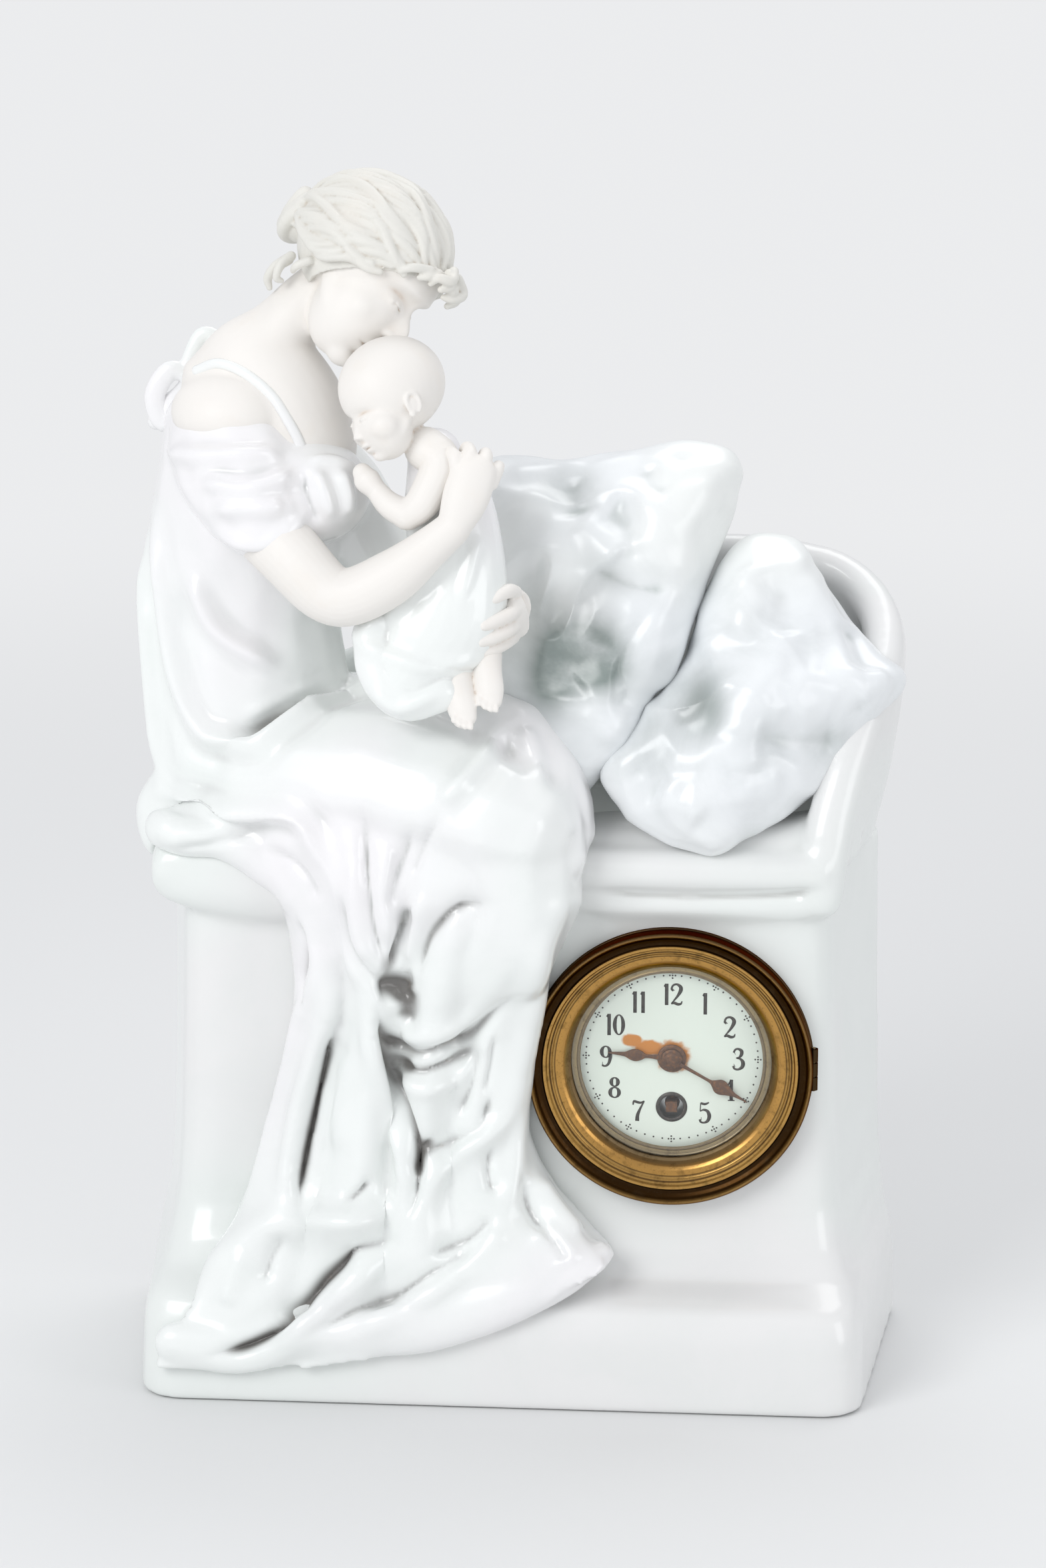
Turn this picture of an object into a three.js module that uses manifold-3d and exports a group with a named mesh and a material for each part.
// Porcelain table clock: a seated mother holding an infant on a settee, with a spring-driven
// drum movement let into the front of the settee. Millimetres, +X right, +Y back, +Z up,
// origin on the table under the middle of the plinth.
import * as THREE from "three";
import { mergeVertices } from "three/addons/utils/BufferGeometryUtils.js";
import Module from "manifold-3d";

const wasm = await Module();
wasm.setup();

// Settee
const plinthFront = -55; // front face of the plinth
const backFace = 56; // flat back of the settee
const frontHalfWidth = 119; // half width of the plinth at its front corners
const backHalfWidth = 128; // half width at the back, where the plan splays
const leftTuck = 3; // the left side splays less
const cornerRadius = 12;
const plinthHeight = 36;
const panelFace = -25; // upright front panel
const panelFoot = 60; // height at which the ledge has swept up into the panel
const waistNarrowing = 13; // how much the sides draw in from plinth to seat
const seatUnderside = 168;
const seatTop = 184;
const seatOverhang = 6; // the seat roll stands out from the panel
const seatRollDrop = 8; // the roll hangs lower at its free left end
const porcelainWall = 6;
const wingWall = 8; // thickness of the curved arm and back
const backrestBack = 48.5; // middle of the backrest wall
const wingDish = 2; // how far the wall bellies out between foot and rim
const armHeight = 84; // top of the scrolled arm above the seat
const armFlare = 12; // how far the arm leans out over its foot
const accessRadius = 40; // round opening in the back for winding and setting

// Clock place and case
const clockInset = 51.8; // from the panel's right edge to the clock's axis
const clockX = frontHalfWidth - waistNarrowing - clockInset;
const clockZ = 110.7;
const seam = 0.3; // gap between pieces that seat on each other
const runningGap = 0.3; // gap round a turning shaft
const drumRadius = 37;
const drumWall = 1;
const drumBack = 24.4; // y of the drum's back edge
const apertureGap = 0.8; // play of the drum in the porcelain
const flangeRadius = 46.6;
const flangeThickness = 1.2;
const bezelRadius = flangeRadius - 0.3;
const bezelDepth = 6.2; // the bezel's rim stands this far out from the flange
const funnelDepth = 9.2; // from the rim back to the glass
const bandRadius = bezelRadius - 4.5; // outer edge of the bright stepped band
const sightRadius = 29.8; // inner edge of the sight ring
const glassRadius = 34;
const spigotRadius = 35.4; // the bezel's collar inside the drum's mouth
const glassThickness = 1;
const gownClearance = 1; // room left for the bezel where the gown passes it
const hingeLength = 14;
const knuckleRadius = 1.4;
const pinRadius = 0.6;

// Dial and hands
const dialThickness = 1;
const windingDrop = 17; // winding square below the dial's centre
const windingHoleRadius = 5;
const hourHandLength = 21;
const minuteHandLength = 28.6;
const handGap = 0.5; // between the hands
const handRoom = 3.9; // from the glass to the dial
const handHub = 4.7;
const handThickness = 0.6;
const hourHandAngle = 275; // clockwise from twelve
const minuteHandAngle = 119;

// Movement
const plateThickness = 1.5;
const plateGap = 18; // between the two plates
const dialToPlate = 6; // motion work sits here
const pillarRadius = 2;
const pillarCircle = 31;
const arborRadius = 0.9;
const minuteArborRadius = 0.7; // turns inside the centre wheel's pipe
const centrePipeRadius = 1.25;
const wheelThickness = 1;
const barrelRadius = 13.6;
const barrelHeight = 12;
const barrelWall = 1;
const windingArborRadius = 2.4;
const windingSquare = 3.6;
const springThickness = 0.6;
const springTurns = 3;
const knobRadius = 6;
const knobLength = 6;
const balanceRadius = 8.5;
const hairspringTurns = 3;

// Wheel counts of the going train and motion work
const barrelTeeth = 48;
const centrePinionLeaves = 6;
const centreTeeth = 48;
const thirdPinionLeaves = 6;
const thirdTeeth = 45;
const fourthPinionLeaves = 6;
const fourthTeeth = 48;
const escapePinionLeaves = 6;
const escapeTeeth = 15;
const cannonLeaves = 12;
const minuteWheelTeeth = 36;
const minutePinionLeaves = 10;
const hourTeeth = 40;
const ratchetTeeth = 24;
const motionDistance = 10; // from the centre arbor to the minute wheel's post
const centreWheelRadius = 12;
const thirdWheelRadius = 10.8;
const fourthWheelRadius = 9.1;
const escapeWheelRadius = 5.5;
const ratchetRadius = 7.5;

const glaze = new THREE.MeshStandardMaterial({ color: 0xe4ebe6, roughness: 0.18 });
const bisque = new THREE.MeshStandardMaterial({ color: 0xe9e4dc, roughness: 0.75 });
const agedBrass = new THREE.MeshStandardMaterial({ color: 0x7a5c2c, roughness: 0.4, metalness: 1 });
const brass = new THREE.MeshStandardMaterial({ color: 0xb08d4c, roughness: 0.35, metalness: 1 });
const steel = new THREE.MeshStandardMaterial({ color: 0x9a9a98, roughness: 0.35, metalness: 1 });
const handSteel = new THREE.MeshStandardMaterial({ color: 0x3a2a22, roughness: 0.6, metalness: 0.6 });
const enamel = new THREE.MeshStandardMaterial({ color: 0xdfe8da, roughness: 0.25 });
const clearGlass = new THREE.MeshStandardMaterial({
  color: 0xf4f8f8,
  roughness: 0.05,
  opacity: 0.3,
  transparent: true,
});

const clockCase = new THREE.Group();
const porcelain = new THREE.Group();
const clock = new THREE.Group();
clock.position.set(clockX, 0, clockZ);
clockCase.add(porcelain, clock);

// Turns a closed geometry into a solid whose faces point outwards.
function solidOf(geometry) {
  const bare = geometry.index ? geometry.toNonIndexed() : geometry.clone();
  bare.deleteAttribute("normal");
  bare.deleteAttribute("uv");
  const merged = mergeVertices(bare, 1e-4);
  const triVerts = new Uint32Array(merged.index.array);
  const vertProperties = new Float32Array(merged.attributes.position.array);
  const made = new wasm.Manifold(new wasm.Mesh({ numProp: 3, vertProperties, triVerts }));
  if (made.volume() > 0) return made;
  for (let i = 0; i < triVerts.length; i += 3) {
    const first = triVerts[i];
    triVerts[i] = triVerts[i + 1];
    triVerts[i + 1] = first;
  }
  return new wasm.Manifold(new wasm.Mesh({ numProp: 3, vertProperties, triVerts }));
}

function geometryOf(solid) {
  const mesh = solid.getMesh();
  const positions = new Float32Array(mesh.numVert * 3);
  for (let i = 0; i < mesh.numVert; i++)
    for (let k = 0; k < 3; k++) positions[3 * i + k] = mesh.vertProperties[i * mesh.numProp + k];
  const geometry = new THREE.BufferGeometry();
  geometry.setAttribute("position", new THREE.BufferAttribute(positions, 3));
  geometry.setIndex(new THREE.BufferAttribute(new Uint32Array(mesh.triVerts), 1));
  geometry.computeVertexNormals();
  return geometry;
}

function place(parent, name, solid, material, x = 0, z = 0) {
  const mesh = new THREE.Mesh(geometryOf(solid), material);
  mesh.name = name;
  mesh.position.set(x, 0, z);
  parent.add(mesh);
  return mesh;
}

const joinAll = (solids) => solids.reduce((whole, next) => whole.add(next));

// Of what a cut leaves, the main body.
function mainBody(solid) {
  return solid.decompose().sort((a, b) => b.volume() - a.volume())[0];
}

// A closed body through rings of points, each with the same number of points.
function loft(rings) {
  const sides = rings[0].length;
  const positions = [];
  const index = [];
  const put = (p) => positions.push(p.x, p.y, p.z);
  rings.forEach((ring) => ring.forEach(put));
  for (const ring of [rings[0], rings[rings.length - 1]]) {
    const middle = new THREE.Vector3();
    ring.forEach((p) => middle.addScaledVector(p, 1 / sides));
    put(middle);
  }
  const firstMiddle = rings.length * sides;
  for (let i = 0; i < sides; i++) {
    const next = (i + 1) % sides;
    for (let k = 0; k < rings.length - 1; k++) {
      const a = k * sides + i;
      const b = k * sides + next;
      index.push(a, b, b + sides, a, b + sides, a + sides);
    }
    const last = (rings.length - 1) * sides;
    index.push(firstMiddle, next, i, firstMiddle + 1, last + i, last + next);
  }
  const geometry = new THREE.BufferGeometry();
  geometry.setAttribute("position", new THREE.Float32BufferAttribute(positions, 3));
  geometry.setIndex(index);
  return solidOf(geometry);
}

// A rounded limb through stations [x, y, z, half width, half depth]. The width lies
// square to the path and to `facing`, the depth along `facing`.
function limb(stations, { sides = 10, steps = 2, facing = [0, -1, 0], grow = 0 } = {}) {
  const path = new THREE.CatmullRomCurve3(stations.map(([x, y, z]) => new THREE.Vector3(x, y, z)));
  const sizes = new THREE.CatmullRomCurve3(stations.map(([, , , w, d]) => new THREE.Vector3(w, d, 0)));
  const count = (stations.length - 1) * steps;
  const front = new THREE.Vector3(...facing);
  const ring = (t, shrink, along) => {
    const centre = path.getPoint(t);
    const tangent = path.getTangent(t);
    const across = new THREE.Vector3().crossVectors(tangent, front).normalize();
    const out = new THREE.Vector3().crossVectors(across, tangent).normalize();
    const size = sizes.getPoint(t);
    const reach = ((size.x + size.y) / 2 + grow) * along;
    return Array.from({ length: sides }, (_, i) => {
      const angle = (2 * Math.PI * i) / sides;
      return centre
        .clone()
        .addScaledVector(tangent, reach)
        .addScaledVector(across, Math.cos(angle) * (size.x + grow) * shrink)
        .addScaledVector(out, Math.sin(angle) * (size.y + grow) * shrink);
    });
  };
  const rings = [ring(0, 0.3, -0.95), ring(0, 0.75, -0.65)];
  for (let k = 0; k <= count; k++) rings.push(ring(k / count, 1, 0));
  rings.push(ring(1, 0.75, 0.65), ring(1, 0.3, 0.95));
  return loft(rings);
}

// An upright body through level rings given as [z, centre x, centre y, half width, half depth].
function tower(levels, { sides = 14, grow = 0, ripple = () => 0 } = {}) {
  return loft(
    levels.map(([z, cx, cy, w, d], k) =>
      Array.from({ length: sides }, (_, i) => {
        const angle = (2 * Math.PI * i) / sides;
        const swell = 1 + ripple(angle, k / (levels.length - 1));
        const lift = k === 0 ? -grow : k === levels.length - 1 ? grow : 0;
        return new THREE.Vector3(
          cx + Math.cos(angle) * (w + grow) * swell,
          cy + Math.sin(angle) * (d + grow) * swell,
          z + lift,
        );
      }),
    ),
  );
}

// Level ring round the settee's plan: rounded corners, splayed towards the back.
function planRing(z, front, halfFront, halfBack, grow) {
  const back = backFace + grow;
  const corners = [
    [-halfFront - grow, front - grow, 1, 1, 180],
    [halfFront + grow, front - grow, -1, 1, 270],
    [halfBack + grow, back, -1, -1, 0],
    [-halfBack + leftTuck - grow, back, 1, -1, 90],
  ];
  const radius = Math.max(cornerRadius + grow, 2);
  const ring = [];
  for (const [x, y, inX, inY, start] of corners)
    for (let k = 0; k <= 3; k++) {
      const angle = THREE.MathUtils.degToRad(start + 30 * k);
      const cx = x + inX * radius;
      const cy = y + inY * radius;
      ring.push(new THREE.Vector3(cx + radius * Math.cos(angle), cy + radius * Math.sin(angle), z));
    }
  return ring;
}

// Levels of the settee's base: height, front face, and share of the side's narrowing.
function setteeLevels() {
  const edge = plinthFront + 9;
  const ledge = panelFace - plinthFront;
  return [
    [0, plinthFront, 0],
    [plinthHeight * 0.72, plinthFront + 1.5, 0.08],
    [plinthHeight * 0.93, plinthFront + 4.5, 0.18],
    [plinthHeight, edge, 0.28],
    [plinthHeight + 4, plinthFront + ledge * 0.62, 0.42],
    [plinthHeight + 12, plinthFront + ledge * 0.84, 0.56],
    [panelFoot, panelFace, 0.7],
    [panelFoot + 22, panelFace, 0.82],
    [(panelFoot + seatUnderside) / 2 + 10, panelFace, 0.92],
    [seatUnderside + 6, panelFace, 1],
  ];
}

function setteeBlock(grow = 0) {
  const rings = setteeLevels().map(([z, front, share]) => {
    const halfFront = frontHalfWidth - waistNarrowing * share;
    const halfBack = backHalfWidth - (waistNarrowing - 5) * share;
    return planRing(z, front, halfFront, halfBack, grow);
  });
  return loft(rings);
}

// The seat roll: a thick cushion-like edge moulded along the front, domed at its left end.
function seatRoll(grow = 0) {
  const free = -frontHalfWidth + 5;
  const joined = frontHalfWidth - 15;
  const front = panelFace - seatOverhang;
  const stations = [
    [free - 1.5, 0.55],
    [free + 0.5, 0.85],
    [free + 4, 1],
    [free + 45, 1],
    [free + 110, 1],
    [joined, 1],
  ];
  return loft(
    stations.map(([x, fill], k) => {
      const along = k / (stations.length - 1);
      const bottom = seatUnderside - seatRollDrop * (1 - Math.min(1, along * 1.6));
      const middle = (bottom + seatTop) / 2;
      const half = ((seatTop - bottom) / 2) * fill + grow;
      const nose = front + (1 - fill) * 6 - grow;
      const outward = k === 0 ? -grow : k === stations.length - 1 ? grow : 0;
      return [
        [backrestBack + grow, half],
        [nose + 14, half],
        [nose + 5, half * 0.86],
        [nose + 1, half * 0.45],
        [nose, -half * 0.1],
        [nose + 1.5, -half * 0.6],
        [nose + 7, -half],
        [backrestBack + grow, -half],
      ].map(([y, z]) => new THREE.Vector3(x + outward, y, middle + z));
    }),
  );
}

// The settee's curved wall: from the right front post it scrolls out and up as the arm,
// turns the corner and falls away along the back.
function setteeWing(grow = 0) {
  const side = frontHalfWidth - waistNarrowing;
  const lean = armFlare / 12;
  const rise = armHeight / 84;
  const back = backrestBack - 49;
  // foot x, foot y, how far the rim leans out, rim y, rim height over the seat
  const stations = [
    [side - 3, panelFace + 1, 1, panelFace - 1, 3],
    [side - 1, panelFace + 11, 3, panelFace + 6, 13],
    [side + 2, panelFace + 22, 6, panelFace + 17, 32],
    [side + 6, panelFace + 33, 9, panelFace + 29, 50],
    [side + 8, panelFace + 45, 10, panelFace + 42, 60],
    [side + 7, panelFace + 59, 9, panelFace + 55, 68],
    [side + 1, 41 + back, 5, 38 + back, 76],
    [side - 9, 45 + back, 4, 44 + back, 81],
    [side - 24, 47 + back, 6, 47 + back, 84],
    [side - 46, 48 + back, 0, 49 + back, 87],
    [20, 48 + back, 0, 50 + back, 78],
    [-50, 48 + back, 0, 50 + back, 48],
    [-side - 2, 46 + back, 0, 47 + back, 20],
  ];
  const foot = new THREE.CatmullRomCurve3(
    stations.map(([x, y]) => new THREE.Vector3(x, y, seatTop - 8)),
  );
  const rim = new THREE.CatmullRomCurve3(
    stations.map(([x, , out, y, z]) => new THREE.Vector3(x + out * lean, y, seatTop + z * rise)),
  );
  const half = wingWall / 2 + grow;
  const samples = 20;
  const rings = [];
  for (let k = 0; k <= samples; k++) {
    const t = k / samples;
    const low = foot.getPoint(t);
    const high = rim.getPoint(t);
    const along = foot.getTangent(t);
    const out = new THREE.Vector3(along.y, -along.x, 0).normalize();
    const past = k === 0 ? -grow : k === samples ? grow : 0;
    low.addScaledVector(along, past);
    high.addScaledVector(along, past);
    const dish = Math.min(wingDish, (high.z - low.z) * 0.05);
    const at = (side, up, bulge) =>
      low
        .clone()
        .lerp(high, up)
        .addScaledVector(out, side * half + bulge);
    const crown = (side, lift) => at(side, 1, 0).add(new THREE.Vector3(0, 0, lift + grow));
    rings.push([
      at(-1, 0, 0),
      at(-1, 0.35, dish),
      at(-1, 0.7, dish),
      crown(-1, -half * 0.8),
      crown(-0.5, 0),
      crown(0.5, 0),
      crown(1, -half * 0.8),
      at(1, 0.7, dish),
      at(1, 0.35, dish),
      at(1, 0, 0),
    ]);
  }
  return loft(rings);
}

const rodAlongY = (radius, front, back, sides = 20) =>
  solidOf(
    new THREE.CylinderGeometry(radius, radius, back - front, sides).translate(0, (front + back) / 2, 0),
  );

function setteeForm(grow = 0) {
  return joinAll([setteeBlock(grow), seatRoll(grow), setteeWing(grow)]);
}

// The hollow under the settee, open below, as slip casting leaves it.
function setteeHollow() {
  const levels = setteeLevels();
  const rings = levels.map(([z, front, share], k) => {
    const halfFront = frontHalfWidth - waistNarrowing * share;
    const halfBack = backHalfWidth - (waistNarrowing - 5) * share;
    const height = k === 0 ? -1 : Math.min(z - porcelainWall * 0.6, seatUnderside - 1);
    return planRing(height, front, halfFront, halfBack, -porcelainWall);
  });
  return loft(rings);
}

function setteeBody() {
  const aperture = rodAlongY(drumRadius + apertureGap, plinthFront - 20, 0, 36).translate(clockX, 0, clockZ);
  const access = rodAlongY(accessRadius, backFace - 20, backFace + 20, 32).translate(clockX, 0, clockZ);
  return setteeForm().subtract(setteeHollow()).subtract(aperture).subtract(access);
}

// Main folds of the skirt, as [share of width at the top, at the hem, half width, height].
// A ridge stands out from the cloth and a furrow, with a minus sign, sinks into it.
const skirtFolds = [
  [0.06, 0.14, 0.06, 3.5],
  [0.2, 0.26, 0.035, -5],
  [0.3, 0.42, 0.05, 3],
  [0.42, 0.52, 0.04, -6],
  [0.6, 0.62, 0.05, 2.5],
  [0.74, 0.7, 0.035, -4],
  [0.88, 0.84, 0.06, 3.5],
];

function foldHeight(across, down) {
  return skirtFolds.reduce((sum, [top, hem, half, height]) => {
    const off = (across - top - (hem - top) * down) / half;
    const strength = Math.min(1, 0.25 + 2.2 * down, 3.2 - 3 * down);
    return sum + height * Math.exp(-off * off) * strength;
  }, 0);
}

// The skirt from the lap to the hem: a front face that spreads over the ledge and hangs
// over the plinth's edge, backed by the settee.
function drapedSkirt(grow = 0) {
  const lap = seatTop;
  const ledge = plinthHeight;
  // left edge x, y, z; right edge x, y, z; middle of the face y; sag of the face
  const levels = [
    [-84, -28, lap + 16, 22, -34, lap + 22, -47, 0],
    [-74, -33, lap - 10, 27, -42, lap + 2, -54, 0],
    [-68, -31, lap - 42, 16, -34, lap - 36, -52, 0],
    [-70, -29, ledge + 82, 8.5, -31, ledge + 82, -47, 0],
    [-75, -31, ledge + 54, 7, -31, ledge + 56, -47, -2],
    [-87, -39, ledge + 22, 13, -34, ledge + 38, -52, -6],
    [-100, -52, ledge - 2, 26, -46, ledge + 22, -57, -9],
    [-113, -59.5, ledge - 24, 36, -53, ledge + 13, -59, -13],
  ];
  const curve = (pick) => new THREE.CatmullRomCurve3(levels.map((l) => new THREE.Vector3(...pick(l))));
  const left = curve((l) => [l[0], l[1], l[2]]);
  const right = curve((l) => [l[3], l[4], l[5]]);
  const face = curve((l) => [l[6], l[7], 0]);
  const downSteps = 13;
  const acrossSteps = 28;
  const rings = [];
  for (let k = 0; k <= downSteps; k++) {
    const down = k / downSteps;
    const a = left.getPoint(down);
    const b = right.getPoint(down);
    const { x: front, y: sag } = face.getPoint(down);
    const drop = k === 0 ? grow : k === downSteps ? -grow : 0;
    const ring = [];
    for (let i = 0; i <= acrossSteps; i++) {
      const across = i / acrossSteps;
      const arch = Math.sin(Math.PI * across) ** 0.6;
      const point = a.clone().lerp(b, across);
      point.x += (2 * across - 1) * grow;
      point.y += (front - point.y) * arch - foldHeight(across, down) * arch - grow;
      point.z += sag * Math.sin(Math.PI * across) + drop;
      ring.push(point);
    }
    const behind = (p, sign) => new THREE.Vector3(p.x + sign * grow, panelFace + 10, p.z + drop);
    ring.push(behind(b, 1), behind(a.clone().lerp(b, 0.5), 0), behind(a, -1));
    rings.push(ring);
  }
  return loft(rings);
}

// The gown and the body in it, from the hem on the plinth to the shoulders.
function gownForm(grow = 0) {
  const lap = seatTop;
  const ledge = plinthHeight;
  const torso = tower(
    [
      [lap - 6, -74, 4, 42, 36],
      [lap + 14, -79, 4, 39, 34],
      [lap + 42, -87, 5, 34, 29],
      [lap + 70, -89, 5, 32, 27],
      [lap + 92, -86, 3, 33, 27],
      [lap + 108, -82, 1, 34, 27],
      [lap + 122, -84, -1, 29, 27],
      [lap + 136, -87, -2, 24, 25],
      [lap + 146, -88, -2, 16, 17],
    ],
    { grow },
  );
  const nearThigh = limb(
    [
      [-78, -8, lap + 14, 28, 26],
      [-38, -24, lap + 20, 28, 26],
      [2, -36, lap + 10, 24, 22],
    ],
    { grow, facing: [0, 0, 1] },
  );
  const nearKnee = limb(
    [
      [0, -35, lap + 6, 24, 22],
      [5, -37, lap - 14, 21, 19],
      [-6, -36, lap - 38, 17, 15],
      [-20, -26, ledge + 84, 12, 12],
    ],
    { grow },
  );
  const farThigh = limb(
    [
      [-74, 16, lap + 16, 24, 22],
      [-34, 2, lap + 30, 22, 22],
      [2, -16, lap + 30, 18, 18],
      [14, -26, lap + 8, 16, 16],
    ],
    { grow, facing: [0, 0, 1] },
  );
  const skirt = drapedSkirt(grow);
  const seatDrape = limb(
    [
      [-110, -12, lap + 3, 8, 18],
      [-94, -18, lap + 2, 9, 15],
      [-74, -26, lap - 2, 10, 12],
      [-62, -34, lap - 16, 10, 10],
    ],
    { grow, facing: [0, 0, 1] },
  );
  const sleeve = limb(
    [
      [-91, -16, lap + 132, 19, 16],
      [-85, -26, lap + 122, 20, 17],
      [-77, -35, lap + 112, 17, 16],
    ],
    { grow },
  );
  const bust = limb(
    [
      [-64, -22, lap + 108, 13, 13],
      [-58, -12, lap + 110, 13, 13],
    ],
    { grow },
  );
  const farSleeve = limb(
    [
      [-68, 8, lap + 122, 14, 14],
      [-54, 4, lap + 108, 14, 14],
      [-45, 2, lap + 92, 13, 13],
      [-38, 0, lap + 80, 11, 11],
    ],
    { grow, sides: 8 },
  );
  return joinAll([torso, nearThigh, nearKnee, farThigh, skirt, seatDrape, sleeve, farSleeve, bust]);
}

// The bow that ties the gown behind the shoulders: two loops and a knot.
function gownBow(grow = 0) {
  const knot = [-108, 10, seatTop + 138];
  const loop = (dx, dy, dz, w) =>
    limb(
      [
        [knot[0] + 2, knot[1], knot[2], 3.5, 3.5],
        [knot[0] + dx * 0.6, knot[1] + dy * 0.6, knot[2] + dz * 0.6, w, w * 0.7],
        [knot[0] + dx, knot[1] + dy, knot[2] + dz, w * 0.6, w * 0.5],
      ],
      { sides: 8, grow },
    );
  const tie = limb(
    [
      [-92, 4, seatTop + 134, 6, 6],
      [knot[0], knot[1], knot[2], 4, 4],
    ],
    { sides: 8, grow },
  );
  return joinAll([tie, loop(8, 2, 11, 5), loop(-8, -2, -8, 5.5)]);
}

// Head, hair and neck, down to the neckline. The head bows towards the infant.
function headForm(grow = 0) {
  const z = seatTop;
  const skull = limb(
    [
      [-53, -3, z + 187, 21, 22],
      [-42, -6, z + 191, 24.5, 25],
      [-33, -8, z + 187, 21, 22],
    ],
    { grow, sides: 12, facing: [0, -1, 0] },
  );
  const face = limb(
    [
      [-32, -13, z + 184, 17, 16],
      [-38, -16, z + 174, 16, 14],
      [-47, -18, z + 163, 8, 8],
    ],
    { grow },
  );
  const bun = limb(
    [
      [-64, 2, z + 192, 9, 10],
      [-70, 3, z + 199, 7.5, 8],
    ],
    { grow, sides: 8 },
  );
  const neck = limb(
    [
      [-62, -4, z + 176, 14, 14],
      [-70, -3, z + 165, 13, 14],
      [-77, -3, z + 154, 17, 19],
      [-84, -3, z + 142, 24, 27],
    ],
    { grow },
  );
  const chest = limb(
    [
      [-78, -12, z + 142, 12, 14],
      [-68, -13, z + 132, 12, 15],
      [-62, -12, z + 120, 12, 14],
    ],
    { grow },
  );
  return joinAll([skull, face, bun, neck, chest]);
}

// Right arm: out of the sleeve, bent at the elbow, the hand on the infant's shoulder.
function rightArmForm(grow = 0) {
  const z = seatTop;
  const arm = limb(
    [
      [-76, -36, z + 106, 11.5, 11],
      [-66, -43, z + 98, 10.8, 10.5],
      [-55, -47, z + 88, 10.5, 10],
      [-46, -49, z + 87, 9.6, 9.4],
      [-33, -50, z + 94, 8.8, 8.6],
      [-15, -50, z + 108, 6.2, 6],
    ],
    { grow, sides: 10 },
  );
  const hand = limb(
    [
      [-15, -50, z + 108, 6, 5.4],
      [-10, -48, z + 119, 8, 5.2],
      [-7, -43, z + 129, 8.4, 4.6],
      [-4, -36, z + 131, 6.5, 3.6],
    ],
    { grow, sides: 10 },
  );
  return arm.add(hand);
}

// Left hand: comes round from behind and holds the infant's side.
function leftHandForm(grow = 0) {
  const z = seatTop;
  const forearm = limb(
    [
      [-58, 8, z + 84, 9, 9],
      [-30, 4, z + 80, 8, 8],
      [-8, -8, z + 78, 7, 7],
    ],
    { grow, sides: 8 },
  );
  const palm = limb(
    [
      [-8, -10, z + 78, 7, 6],
      [0, -20, z + 77, 9, 4.5],
      [2.5, -30, z + 77, 9, 4],
      [-1, -39, z + 76, 7, 3],
    ],
    { grow, sides: 10, facing: [1, 0, 0] },
  );
  return forearm.add(palm);
}

// Infant: head on the mother's breast, swaddled body, bare arm and feet.
function infantForm(grow = 0) {
  const z = seatTop;
  const head = limb(
    [
      [-31, -30, z + 152, 17, 17],
      [-36, -32, z + 144, 18, 17],
      [-40, -34, z + 137, 11, 10],
    ],
    { grow, sides: 12 },
  );
  const body = limb(
    [
      [-22, -28, z + 126, 10, 10],
      [-19, -29, z + 112, 15, 13],
      [-16, -31, z + 92, 17, 15],
      [-20, -34, z + 72, 21, 17],
      [-25, -38, z + 62, 19, 15],
    ],
    { grow, sides: 12 },
  );
  const arm = limb(
    [
      [-20, -36, z + 126, 6.5, 6.5],
      [-25, -43, z + 115, 6, 6],
      [-34, -40, z + 114, 4.5, 4.5],
      [-42, -34, z + 119, 4.5, 4.5],
    ],
    { grow, sides: 8 },
  );
  const foot = (x, y, dz) =>
    limb(
      [
        [x - 1, y + 8, z + 60 + dz, 5.5, 5],
        [x, y, z + 54 + dz, 4.6, 4.6],
        [x + 1, y - 3, z + 49 + dz, 4.4, 3.6],
      ],
      { grow, sides: 8 },
    );
  return joinAll([head, body, arm, foot(-12, -44, 2), foot(-3, -41, 6)]);
}

// A stuffed cushion standing on its edge, built from the seam line round it. The seam's
// points are [x, y, height over the seat].
function cushion(seamLine, thickness, grow = 0) {
  const line = new THREE.CatmullRomCurve3(
    seamLine.map(([x, y, z]) => new THREE.Vector3(x, y, seatTop + z)),
    true,
  );
  const outline = line.getPoints(2 * seamLine.length).slice(0, -1);
  const middle = new THREE.Vector3();
  outline.forEach((p) => middle.addScaledVector(p, 1 / outline.length));
  const face = new THREE.Vector3();
  outline.forEach((p, i) => {
    const next = outline[(i + 1) % outline.length];
    face.add(p.clone().sub(middle).cross(next.clone().sub(middle)));
  });
  face.normalize();
  const layers = [-1, -0.93, -0.75, -0.4, 0, 0.4, 0.75, 0.93, 1];
  return loft(
    layers.map((layer) => {
      const spread = 0.3 + 0.7 * (1 - Math.abs(layer) ** 2.4) ** 0.55;
      return outline.map((p) => {
        const outward = p.clone().sub(middle).normalize();
        return middle
          .clone()
          .lerp(p, spread)
          .addScaledVector(outward, grow)
          .addScaledVector(face, layer * (thickness / 2 + grow));
      });
    }),
  );
}

const largeSeam = [
  [-30, 2, 12],
  [-42, 14, 60],
  [-16, 24, 112],
  [15, 22, 116],
  [40, 20, 121],
  [58, 19, 124],
  [71, 16, 119],
  [70, 12, 103],
  [63, 6, 86],
  [58, -2, 68],
  [46, -9, 51],
  [33, -17, 26],
  [14, -14, 8],
];
const smallSeam = [
  [75, 17, 93],
  [90, 18, 92],
  [104, 16, 76],
  [118, 9, 58],
  [126, 4, 50],
  [120, 0, 40],
  [108, -7, 24],
  [94, -16, 11],
  [74, -26, 2],
  [56, -27, 5],
  [33, -21, 25],
  [45, -11, 42],
  [57, -3, 58],
  [64, 8, 80],
];
const largeCushionForm = (grow = 0) => cushion(largeSeam, 50, grow);
const smallCushionForm = (grow = 0) => cushion(smallSeam, 44, grow);

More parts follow.
